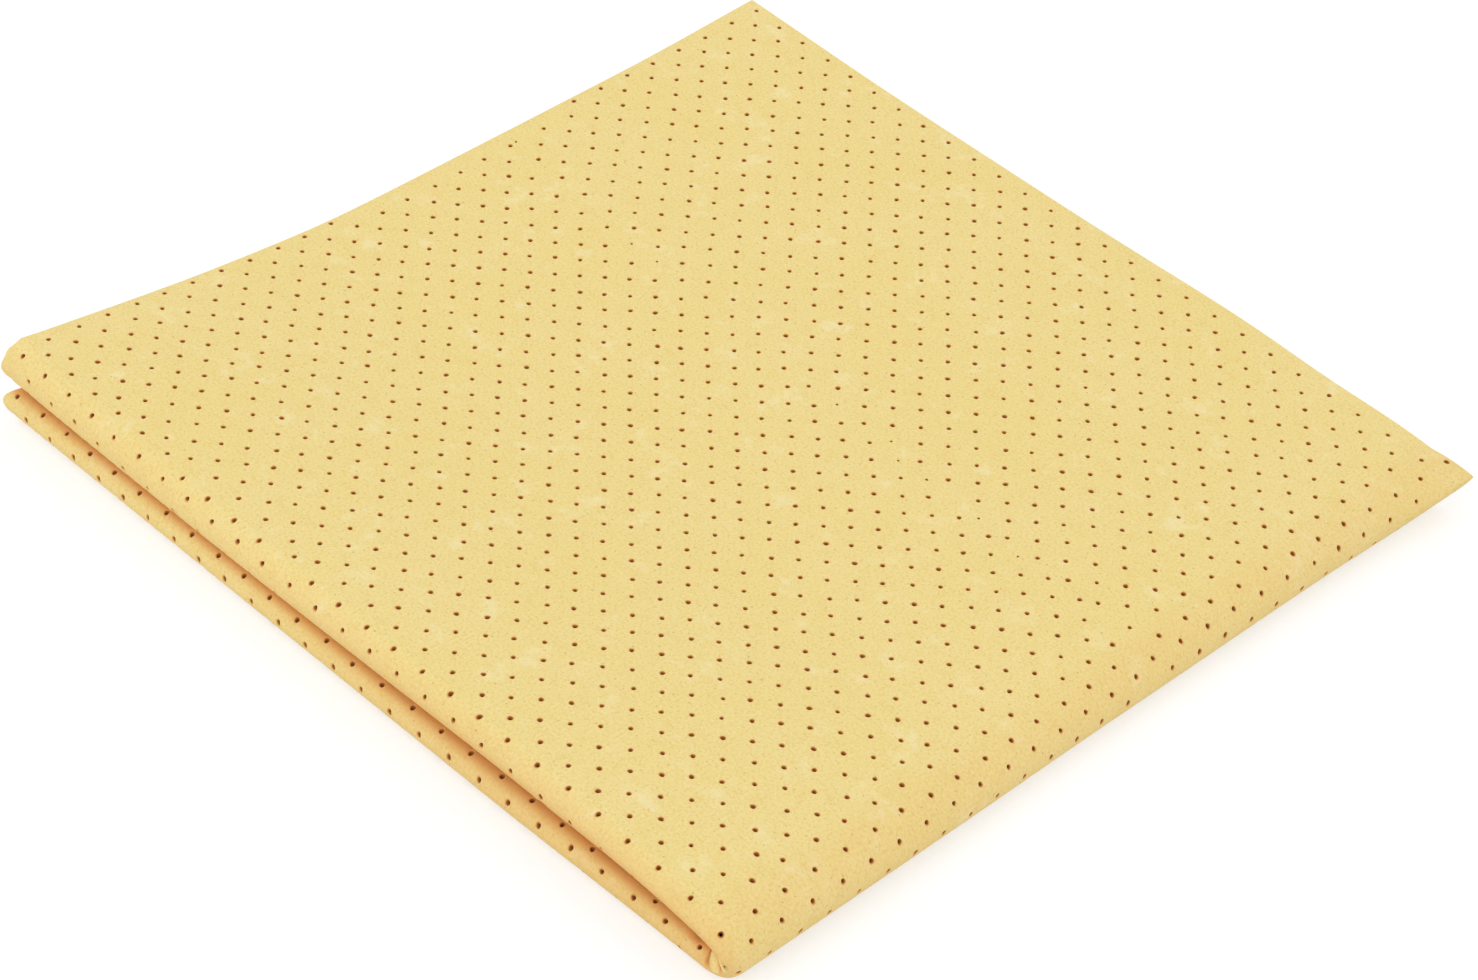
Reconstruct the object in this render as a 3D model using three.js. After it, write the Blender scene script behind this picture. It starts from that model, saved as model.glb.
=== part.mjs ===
// A synthetic chamois cleaning cloth, folded in half twice and laid on a table.
// Units are millimetres, +Z is up and the table is z = 0. The first fold runs along X on the low-Y
// side, where it shows as two rounded lips, one on the other. The second fold runs along Y on the
// high-X side and wraps both lips and all four plies. The other two sides are open cut edges.
// The cloth is one sheet. Its meshes are the stretches of that sheet between its creases.

import * as THREE from "three";

// Driving dimensions: the flat sheet.
const SHEET_X = 380;
const SHEET_Y = 380;
const PLY = 1.2;

// The first fold: the height of each lip outside, and the least air between the two lips.
const LIP_HEIGHT = 7;
const LIP_AIR = 0.5;

// The second fold: how far the outer ply reaches past its flat run, half the inner ply's opening
// where the two folds cross, and the air between the two nested wraps.
const WRAP_REACH = 5.8;
const CROSSING_HALF = 1.7;
const CROSSING_REACH = 4.4;
const WRAP_AIR = 0.5;

// Height of the folded stack above the table, along the lips, the valley and the open edge.
// Each line is a curve through its heights at the cut edge, halfway, and at the second fold's crest.
// The top ply drops from that crest just before it rolls round the fold.
const LIP_LINE = { cut: 17.6, halfway: 15.1, crest: 15.3 };
const VALLEY_LINE = { cut: 14.9, halfway: 11.8, crest: 13.2 };
const OPEN_LINE = { cut: 23.5, halfway: 17, crest: 13.7 };
const FOLD_DROP = 3;

// Powers of the drop into the fold and of the rise from the valley to the open edge.
const DROP_POWER = 10;
const RISE_POWER = 1.5;

// Air between two plies of one half in the valley and at the open edge, and how far the inner plies
// show past the outer ones at the cut edge. The open edge steps back ply by ply from the top.
const PLY_AIR = 1.1;
const OPEN_AIR = 2.5;
const INNER_STEP = 1.2;
const OPEN_STEP = 0.7;

// The slit left between neighbouring stretches of the sheet, so that they stay separate solids.
const SLIT = 0.3;

// Where the plies change from one spacing to another, as shares of the flat run.
const VALLEY_share = 0.37;
const LIP_ZONE_share = 0.3;
const FOLD_ZONE_share = 0.22;
const CROSSING_ZONE_share = 0.16;

// Where the lips' round tip lies, as a share of the way from the outer ply to the inner one.
const LIP_TIP_share = 0.5;

// Steps of the meshes.
const PANEL_STEPS = 18;
const CREASE_STEPS = 22;
const TURN_STEPS = 10;
const CROSSING_STEPS = 14;

// The cloth's look.
const CLOTH_COLOUR = 0xf2de94;
const CLOTH_ROUGHNESS = 0.92;

// Radii and runs worked out from the sizes above.
const LIP_RADIUS = (LIP_HEIGHT - PLY) / 2;
const FOLD_HALF_HEIGHT = (VALLEY_LINE.crest - FOLD_DROP - PLY) / 2;
const WRAP_MID_REACH = WRAP_REACH - PLY / 2;
const WRAP_QUARTER_ARC = (Math.PI / 4) * (WRAP_MID_REACH + FOLD_HALF_HEIGHT);
const LIP_QUARTER_ARC = (Math.PI / 2) * LIP_RADIUS;
const RUN_X = SHEET_X / 2 - WRAP_QUARTER_ARC;
const RUN_Y = SHEET_Y / 2 - LIP_QUARTER_ARC;

// Plan places of the flat runs, with the whole plan centred on the origin.
const PLAN_X = INNER_STEP + RUN_X + WRAP_REACH;
const PLAN_Y = LIP_RADIUS + PLY / 2 + RUN_Y;
const CUT_X = INNER_STEP - PLAN_X / 2;
const FOLD_X = CUT_X + RUN_X;
const OPEN_Y = PLAN_Y / 2;
const LIP_Y = OPEN_Y - RUN_Y;

const { lerp, clamp, smoothstep } = THREE.MathUtils;

// Share of the flat run from the cut edge to the second fold.
function shareX(x) {
  return clamp((x - CUT_X) / RUN_X, 0, 1);
}

// Share of the flat run from the lips to the open edge.
function shareY(y) {
  return clamp((y - LIP_Y) / RUN_Y, 0, 1);
}

// Height along one of the three named lines.
function lineHeight(line, share) {
  const bow = line.halfway - (line.cut + line.crest) / 2;
  const arch = 4 * share * (1 - share);
  return lerp(line.cut, line.crest, share) + bow * arch - FOLD_DROP * share ** DROP_POWER;
}

// Height of the top ply's upper face: level off the lips, lowest in the valley, lifting to the open edge.
function stackTop(x, y) {
  const along = shareX(x);
  const across = shareY(y);
  const valley = lineHeight(VALLEY_LINE, along);
  if (across < VALLEY_share) {
    return lerp(lineHeight(LIP_LINE, along), valley, smoothstep(across, 0, VALLEY_share));
  }
  const rise = (across - VALLEY_share) / (1 - VALLEY_share);
  return valley + (lineHeight(OPEN_LINE, along) - valley) * rise ** RISE_POWER;
}

// Middle surface of the bottom ply, flat on the table, and of the top ply.
const bottomOuter = () => PLY / 2;
const topOuter = (x, y) => stackTop(x, y) - PLY / 2;

// Half the opening of the inner ply at the second fold: tight where the lips cross it, wide beyond.
function innerHalf(y) {
  const free = (topOuter(FOLD_X, y) - bottomOuter()) / 2 - PLY - WRAP_AIR;
  return lerp(CROSSING_HALF, free, smoothstep(shareY(y), 0, CROSSING_ZONE_share));
}

// Distance between the two plies of one half: a lip's width at the first fold, close in the valley,
// wider towards the open edge, and as wide as the nested wraps ask at the second fold.
function spacing(x, y) {
  const air = lerp(PLY_AIR, OPEN_AIR, smoothstep(shareY(y), VALLEY_share, 1));
  const flat = lerp(2 * LIP_RADIUS, PLY + air, smoothstep(shareY(y), 0, LIP_ZONE_share));
  const nested = (topOuter(FOLD_X, y) - bottomOuter()) / 2 - innerHalf(y);
  return lerp(flat, nested, smoothstep(shareX(x), 1 - FOLD_ZONE_share, 1));
}

// Middle surfaces of the two inner plies. The upper one never sinks onto the lower one.
const bottomInner = (x, y) => bottomOuter() + spacing(x, y);
const topInner = (x, y) =>
  Math.max(topOuter(x, y) - spacing(x, y), bottomInner(x, y) + PLY + LIP_AIR);

// A closed solid PLY thick, round the middle surface that middle(a, b) gives for shares a and b.
// The surface's a direction crossed with its b direction points to the cloth's outer side.
function shell(middle, stepsA, stepsB) {
  const positions = [];
  const indices = [];
  const reach = 1 / (stepsA * stepsB);
  const slope = (a, b, da, db) => {
    const ahead = middle(clamp(a + da, 0, 1), clamp(b + db, 0, 1));
    const behind = middle(clamp(a - da, 0, 1), clamp(b - db, 0, 1));
    return ahead.sub(behind);
  };
  for (const side of [1, -1]) {
    for (let i = 0; i <= stepsA; i++) {
      for (let j = 0; j <= stepsB; j++) {
        const a = i / stepsA;
        const b = j / stepsB;
        const normal = slope(a, b, reach, 0).cross(slope(a, b, 0, reach)).normalize();
        positions.push(...middle(a, b).addScaledVector(normal, (side * PLY) / 2).toArray());
      }
    }
  }
  const layer = (stepsA + 1) * (stepsB + 1);
  const outside = (i, j) => i * (stepsB + 1) + j;
  const inside = (i, j) => layer + outside(i, j);
  const face = (p, q, r, s) => indices.push(p, q, r, p, r, s);
  for (let i = 0; i < stepsA; i++) {
    for (let j = 0; j < stepsB; j++) {
      face(outside(i, j), outside(i + 1, j), outside(i + 1, j + 1), outside(i, j + 1));
      face(inside(i, j), inside(i, j + 1), inside(i + 1, j + 1), inside(i + 1, j));
    }
  }
  for (let i = 0; i < stepsA; i++) {
    face(outside(i, 0), inside(i, 0), inside(i + 1, 0), outside(i + 1, 0));
    face(outside(i + 1, stepsB), inside(i + 1, stepsB), inside(i, stepsB), outside(i, stepsB));
  }
  for (let j = 0; j < stepsB; j++) {
    face(outside(0, j + 1), inside(0, j + 1), inside(0, j), outside(0, j));
    face(outside(stepsA, j), inside(stepsA, j), inside(stepsA, j + 1), outside(stepsA, j + 1));
  }
  const geometry = new THREE.BufferGeometry();
  geometry.setAttribute("position", new THREE.Float32BufferAttribute(positions, 3));
  geometry.setIndex(indices);
  geometry.computeVertexNormals();
  return geometry;
}

// One quarter of the sheet: a warped panel from the cut edge to the second fold.
// turn is 1 for a ply whose outer side faces up, and -1 for one whose outer side faces down.
function panel(height, startX, endY, turn) {
  const middle = (a, b) => {
    const x = lerp(startX, FOLD_X - SLIT / 2, a);
    const y = lerp(LIP_Y + SLIT / 2, endY, turn > 0 ? b : 1 - b);
    return new THREE.Vector3(x, y, height(x, y));
  };
  return shell(middle, PANEL_STEPS, PANEL_STEPS);
}

// A point of a half turn between two heights: turned is 0 at the upper one and 1 at the lower one.
function halfTurn(upper, lower, turned) {
  const angle = Math.PI * turned;
  return {
    out: Math.sin(angle),
    height: (upper + lower) / 2 + ((upper - lower) / 2) * Math.cos(angle),
  };
}

// A lip of the first fold, from its upper ply round to its lower one. upper and lower are the plies'
// middle surfaces, and the end at the cut edge slants by the step between those plies.
function lip(upper, lower, upperStart, lowerStart) {
  const middle = (a, b) => {
    const x = lerp(lerp(upperStart, lowerStart, b), FOLD_X - SLIT / 2, a);
    const turn = halfTurn(upper(x, LIP_Y), lower(x, LIP_Y), b);
    return new THREE.Vector3(x, LIP_Y - SLIT / 2 - (LIP_RADIUS - SLIT / 2) * turn.out, turn.height);
  };
  return shell((a, b) => middle(1 - a, b), CREASE_STEPS, TURN_STEPS);
}

// How far the inner wrap reaches: little where the lips cross it, and up to the outer wrap beyond.
function innerReach(y) {
  const full = WRAP_MID_REACH - PLY - WRAP_AIR;
  return lerp(CROSSING_HALF, full, smoothstep(shareY(y), 0, CROSSING_ZONE_share));
}

// A wrap of the second fold, from a ply of the upper half round to one of the lower half.
function wrap(upper, lower, reachAt, endY) {
  const middle = (a, b) => {
    const y = lerp(LIP_Y + SLIT / 2, endY, b);
    const turn = halfTurn(upper(FOLD_X, y), lower(FOLD_X, y), a);
    return new THREE.Vector3(FOLD_X + SLIT / 2 + (reachAt(y) - SLIT / 2) * turn.out, y, turn.height);
  };
  return shell(middle, TURN_STEPS, CREASE_STEPS);
}

// The corner where the folds cross: the upper lip bent round the second fold into the lower lip.
// a goes round the second fold and b round the lip, from the outer ply to the inner one.
function crossing() {
  const middle = (a, b) => {
    const upper = halfTurn(topOuter(FOLD_X, LIP_Y), topInner(FOLD_X, LIP_Y), b);
    const lower = halfTurn(bottomOuter(), bottomInner(FOLD_X, LIP_Y), b);
    const bend = halfTurn(upper.height, lower.height, a);
    const wide = lerp(WRAP_MID_REACH, CROSSING_REACH, smoothstep(b, 0, LIP_TIP_share));
    const reach = lerp(wide, CROSSING_HALF, smoothstep(b, LIP_TIP_share, 1));
    const side = LIP_Y - SLIT / 2 - (LIP_RADIUS - SLIT / 2) * upper.out;
    return new THREE.Vector3(FOLD_X + SLIT / 2 + (reach - SLIT / 2) * bend.out, side, bend.height);
  };
  return shell((a, b) => middle(1 - a, b), CROSSING_STEPS, TURN_STEPS);
}

// A named stretch of the sheet with its own material.
function stretch(name, geometry) {
  const material = new THREE.MeshStandardMaterial({
    color: CLOTH_COLOUR,
    roughness: CLOTH_ROUGHNESS,
    metalness: 0,
  });
  const mesh = new THREE.Mesh(geometry, material);
  mesh.name = name;
  return mesh;
}

// The inner plies start past the outer ones, and the open edge steps back from the top ply down.
const INNER_CUT_X = CUT_X - INNER_STEP;

const upperHalf = new THREE.Group();
upperHalf.add(
  stretch("top_outer_quarter", panel(topOuter, CUT_X, OPEN_Y, 1)),
  stretch("top_inner_quarter", panel(topInner, INNER_CUT_X, OPEN_Y - OPEN_STEP, -1)),
  stretch("upper_first_fold", lip(topOuter, topInner, CUT_X, INNER_CUT_X)),
);

const lowerHalf = new THREE.Group();
lowerHalf.add(
  stretch("bottom_inner_quarter", panel(bottomInner, INNER_CUT_X, OPEN_Y - 2 * OPEN_STEP, 1)),
  stretch("bottom_outer_quarter", panel(bottomOuter, CUT_X, OPEN_Y - 3 * OPEN_STEP, -1)),
  stretch("lower_first_fold", lip(bottomInner, bottomOuter, INNER_CUT_X, CUT_X)),
);

const secondFold = new THREE.Group();
secondFold.add(
  stretch("outer_second_fold", wrap(topOuter, bottomOuter, () => WRAP_MID_REACH, OPEN_Y - 3 * OPEN_STEP)),
  stretch("inner_second_fold", wrap(topInner, bottomInner, innerReach, OPEN_Y - 2 * OPEN_STEP)),
  stretch("crossing_corner", crossing()),
);

const cloth = new THREE.Group();
cloth.add(upperHalf, lowerHalf, secondFold);

export default cloth;
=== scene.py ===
import logging
import math
from dataclasses import dataclass
from enum import Enum
from typing import Any, Sequence

import bmesh
import bpy
import numpy as np
from mathutils import Matrix, Vector
from mathutils.geometry import delaunay_2d_cdt


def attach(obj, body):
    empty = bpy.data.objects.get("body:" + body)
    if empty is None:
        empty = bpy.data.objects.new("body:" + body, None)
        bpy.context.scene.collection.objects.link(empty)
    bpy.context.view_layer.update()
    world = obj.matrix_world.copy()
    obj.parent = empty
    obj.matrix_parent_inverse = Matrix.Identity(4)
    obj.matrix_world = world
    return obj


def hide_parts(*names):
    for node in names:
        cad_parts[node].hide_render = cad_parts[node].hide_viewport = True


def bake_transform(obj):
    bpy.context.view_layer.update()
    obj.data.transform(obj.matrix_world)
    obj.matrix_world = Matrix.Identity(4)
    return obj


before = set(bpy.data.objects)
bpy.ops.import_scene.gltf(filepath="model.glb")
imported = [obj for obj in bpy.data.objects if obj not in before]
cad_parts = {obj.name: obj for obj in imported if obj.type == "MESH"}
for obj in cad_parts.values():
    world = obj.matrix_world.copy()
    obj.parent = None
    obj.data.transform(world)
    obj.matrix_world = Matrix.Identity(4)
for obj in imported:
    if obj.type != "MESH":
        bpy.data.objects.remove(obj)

Array = np.ndarray
Socket = bpy.types.NodeSocket
Tree = bpy.types.NodeTree
Colour = tuple[float, float, float, float]
Pair = tuple[float, float]
Triple = tuple[float, float, float]

MM: float = 0.001
WHITE: Colour = (1.0, 1.0, 1.0, 1.0)
LOG: logging.Logger = logging.getLogger("cleaning_cloth")


def smoothstep(value: Array, low: float, high: float) -> Array:
    """Ease from 0 where value is at low to 1 where it is at high, which may lie below low."""
    share = np.clip((value - low) / (high - low), 0.0, 1.0)
    return share * share * (3.0 - 2.0 * share)


def lerp(first: Array, second: Array, share: Array) -> Array:
    """Blend first into second by share."""
    return first + (second - first) * share


def through(knots: Sequence[float], share: Array) -> Array:
    """Run smoothly through evenly spaced knots.

    Args:
        knots: The values at even steps from share 0 to share 1.
        share: Where to read the curve.

    Returns:
        The curve's values, level at both ends.
    """
    values = np.array([knots[0], *knots, knots[-1]], float)
    at = np.clip(share, 0.0, 1.0) * (len(knots) - 1)
    index = np.clip(at.astype(int), 0, len(knots) - 2)
    part = at - index
    before, here, ahead, after = (values[index + k] for k in range(4))
    rise, next_rise = (ahead - before) / 2, (after - here) / 2
    curve = here + part * rise + part**2 * (3 * (ahead - here) - 2 * rise - next_rise)
    return curve + part**3 * (2 * (here - ahead) + rise + next_rise)


def by_turn(share: Array, before: Array, during: Array, after: Array) -> Array:
    """Pick what holds before a turn starts, on the way round it, and past its end."""
    return np.where(share <= 0, before, np.where(share >= 1, after, during))


def half_turn(upper: Array, lower: Array, share: Array) -> Array:
    """Height on the way round from upper to lower."""
    return (upper + lower) / 2 + (upper - lower) / 2 * np.cos(math.pi * share)


def unit(vectors: Array) -> Array:
    """Scale each row of vectors to length 1."""
    return vectors / np.maximum(np.linalg.norm(vectors, axis=1, keepdims=True), 1e-12)


def add_object(name: str, data: bpy.types.ID) -> bpy.types.Object:
    """Make an object of its data.

    Args:
        name: The object's name.
        data: Its mesh, lamp or camera.

    Returns:
        The object, linked to the scene.
    """
    made = bpy.data.objects.new(name, data)
    bpy.context.scene.collection.objects.link(made)
    return made


def empty_tree(owner: bpy.types.ID) -> Tree:
    """Give a material or a world an empty set of nodes.

    Args:
        owner: The material or the world.

    Returns:
        The nodes.
    """
    owner.use_nodes = True
    owner.node_tree.nodes.clear()
    return owner.node_tree


def add_node(tree: Tree, kind: str, inputs: dict[str | int, Any], **settings: str) -> bpy.types.Node:
    """Add a shader node.

    Args:
        tree: The nodes that it joins.
        kind: Its type, without the leading ShaderNode.
        inputs: For each input, by name or number, a constant or the socket that feeds it.
        settings: The node's own settings.

    Returns:
        The node.
    """
    node = tree.nodes.new("ShaderNode" + kind)
    for name, value in settings.items():
        setattr(node, name, value)
    for name, value in inputs.items():
        if isinstance(value, bpy.types.NodeSocket):
            tree.links.new(value, node.inputs[name])
        else:
            node.inputs[name].default_value = value
    return node


def mix_colours(tree: Tree, share: Socket, first: Socket | Colour, second: Socket | Colour) -> Socket:
    """Mix two colours, each a constant or the socket that gives it, by a share of the second."""
    inputs = {"Factor": share, 6: first, 7: second}
    return add_node(tree, "Mix", inputs, data_type="RGBA").outputs[2]


class Half(Enum):
    """Which half of the folded cloth a stretch lies in, counted round the second fold."""

    UPPER = 0
    WRAP = 1
    LOWER = 2


class Layer(Enum):
    """Which layer of a half a stretch lies in, counted round the first fold."""

    OUTER = 0
    LIP = 1
    INNER = 2


class Course(Enum):
    """How a coat's share rises between its ends."""

    EASED = "SMOOTHSTEP"
    EVEN = "LINEAR"


@dataclass(frozen=True)
class HeightLine:
    """Height of the stack along one line from the cut edge to the second fold, in millimetres."""

    cut: float
    halfway: float
    crest: float
    drop_power: int = 10

    def at(self, share: Array, drop: float) -> Array:
        """Height at a share of the run, with the drop into the fold.

        Args:
            share: Share of the run, 0 at the cut edge and 1 at the fold.
            drop: How far the ply drops just before the fold.

        Returns:
            The height of the top ply's upper face.
        """
        bow = self.halfway - (self.cut + self.crest) / 2
        fall = drop * np.clip(share, 0.0, None) ** self.drop_power
        return lerp(self.cut, self.crest, share) + bow * 4 * share * (1 - share) - fall


@dataclass(frozen=True)
class Swell:
    """A soft rise or dip: its height in millimetres, and its middle and width as shares of a run."""

    height: float
    middle: float
    width: float

    def at(self, share: Array) -> Array:
        """Height at a share of the run."""
        return self.height * np.exp(-(((share - self.middle) / self.width) ** 2))


@dataclass(frozen=True)
class ClothSizes:
    """Sizes of the sheet and of its two folds, in millimetres, as the solids have them."""

    side: float = 380.0
    ply: float = 1.2
    lip_height: float = 7.0
    lip_air: float = 0.5
    wrap_reach: float = 5.8
    crossing_half: float = 1.7
    wrap_air: float = 0.5
    fold_drop: float = 3.0
    ply_air: float = 1.1
    open_air: float = 2.5
    inner_step: float = 1.2
    open_step: float = 0.7
    lip_line: HeightLine = HeightLine(17.6, 15.1, 15.3)
    valley_line: HeightLine = HeightLine(14.9, 11.8, 13.2)
    open_line: HeightLine = HeightLine(23.5, 17.0, 13.7)
    rise_power: float = 1.5
    valley_share: float = 0.37
    lip_zone: float = 0.3
    fold_zone: float = 0.22
    crossing_zone: float = 0.16

    @property
    def lip_radius(self) -> float:
        """Radius of a lip's middle surface."""
        return (self.lip_height - self.ply) / 2

    @property
    def wrap_mid(self) -> float:
        """Reach of the outer wrap's middle surface."""
        return self.wrap_reach - self.ply / 2

    @property
    def wrap_arc(self) -> float:
        """Length of cloth round the second fold."""
        half_height = (self.valley_line.crest - self.fold_drop - self.ply) / 2
        return math.pi / 2 * (self.wrap_mid + half_height)

    @property
    def lip_arc(self) -> float:
        """Length of cloth round a lip."""
        return math.pi * self.lip_radius

    @property
    def run_x(self) -> float:
        """Flat run from the cut edge to the second fold."""
        return (self.side - self.wrap_arc) / 2

    @property
    def run_y(self) -> float:
        """Flat run from the lips to the open edge."""
        return (self.side - self.lip_arc) / 2

    @property
    def cut_x(self) -> float:
        """Plan place of the outer plies' cut edge."""
        return self.inner_step - (self.inner_step + self.run_x + self.wrap_reach) / 2

    @property
    def fold_x(self) -> float:
        """Plan place where the second fold's wraps start."""
        return self.cut_x + self.run_x

    @property
    def open_y(self) -> float:
        """Plan place of the top ply's open edge."""
        return (self.lip_radius + self.ply / 2 + self.run_y) / 2

    @property
    def lip_y(self) -> float:
        """Plan place where the lips start."""
        return self.open_y - self.run_y


@dataclass(frozen=True)
class LooseShape:
    """How this cloth strays from the plain folds, in millimetres and in shares of a run or a turn.

    A zone is where a form fades in, from none to full. The soft waves are the product of two, each
    with its turn in radians for a millimetre of x and of y, and where it starts.
    """

    lip_span: tuple[float, ...] = (9.0, 8.1, 6.7, 5.4, 5.6)
    lower_lip_span: float = 4.9
    contact_ease: float = 0.01
    upper_flare: tuple[float, ...] = (1.4, 1.2, 1.8, 2.0, 2.6, 3.1, 2.7, 1.9, 1.2)
    lower_flare: tuple[float, ...] = (0.6, 1.0, 1.8, 2.8, 3.4, 3.3, 2.4, 1.4, 0.8)
    flare_depth: float = 8.7
    fold_bulge: tuple[float, float, float] = (1.1, 0.25, 0.6)
    bulge_zone: Pair = (0.0, 0.5)
    open_bulge_zone: Pair = (0.78, 0.95)
    corner_reach: float = 5.3
    tip_zone: float = 0.12
    tip_power: float = 1.4
    tip_reach: float = 8.2
    tip_sharpness: float = 0.7
    tip_height: float = 7.2
    tip_side: float = 4.1
    tip_side_power: float = 1.5
    tip_press: float = 0.6
    press_zone: Pair = (0.2, 1.0)
    upper_swell: float = 0.4
    lower_swell: float = -0.9
    swell_change: Pair = (0.1, 0.9)
    swell_start: float = 0.72
    upper_swell_lag: float = 0.13
    pucker: float = 0.24
    pucker_place: float = 101.5
    pucker_pitch: float = 3.7
    pucker_width: float = 5.0
    pucker_end: Pair = (-0.5, 0.9)
    pucker_rise: Pair = (0.38, 0.58)
    pucker_fall: Pair = (0.82, 1.0)
    fold_sag: Swell = Swell(-0.8, 0.87, 0.09)
    sag_zone: Pair = (0.55, 1.0)
    far_lift: Swell = Swell(0.5, 0.6, 0.13)
    near_dip: Swell = Swell(-0.4, 0.2, 0.09)
    lift_power: int = 4
    wave: float = 0.12
    wave_zone: Pair = (0.0, 0.12)
    wave_turns: tuple[Triple, Triple] = ((0.071, 0.052, 0.0), (-0.031, 0.083, 1.0))


@dataclass(frozen=True)
class LipPaintedShade:
    """How shade is painted into one lip's colour where little light comes between the plies.

    Each step holds how much it adds far from the second fold and near it, and from which to which
    share of the way round it rises. The painted shade is full past the last span.
    """

    steps: tuple[tuple[float, float, float, float], ...]
    full: Pair

    def at(self, turn: Array, near_fold: Array) -> Array:
        """The painted shade at a share of the way round.

        Args:
            turn: Share of the way round the lip, 0 outside and 1 inside.
            near_fold: How near the second fold the place lies, from 0 to 1.

        Returns:
            The painted shade, from 0 to 1.
        """
        painted_shade = np.zeros_like(turn)
        for far, near, low, high in self.steps:
            painted_shade = painted_shade + lerp(far, near, near_fold) * smoothstep(turn, low, high)
        return lerp(painted_shade, 1.0, smoothstep(turn, *self.full))


@dataclass(frozen=True)
class GroovePaintedShade:
    """Where shade is painted into the cloth's colour, darker and warmer: between the lips, along the
    roll and in the corner's tucks.

    The roll's spans are millimetres from the second fold's start and end. The tuck's place and size
    are millimetres past that end and a share of the way round the lip.
    """

    near_fold: Pair = (0.25, 0.9)
    upper: LipPaintedShade = LipPaintedShade(((0.1, 0.25, 0.0, 0.35), (0.12, 0.5, 0.35, 0.7)), (0.7, 0.95))
    lower: LipPaintedShade = LipPaintedShade(((0.1, 0.33, 0.0, 0.3),), (0.68, 0.93))
    change: Pair = (0.25, 0.75)
    fade: float = 6.0
    # Painted shade along the second fold's roll, and over the corner's gathers and in its tuck.
    roll: float = 0.14
    roll_start: Pair = (-4.5, 3.0)
    roll_end: Pair = (-3.0, 4.5)
    gathers: float = 1.3
    tuck: float = 0.7
    tuck_place: Pair = (2.4, 0.84)
    tuck_size: Pair = (1.7, 0.09)
    most: float = 1.7


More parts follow.
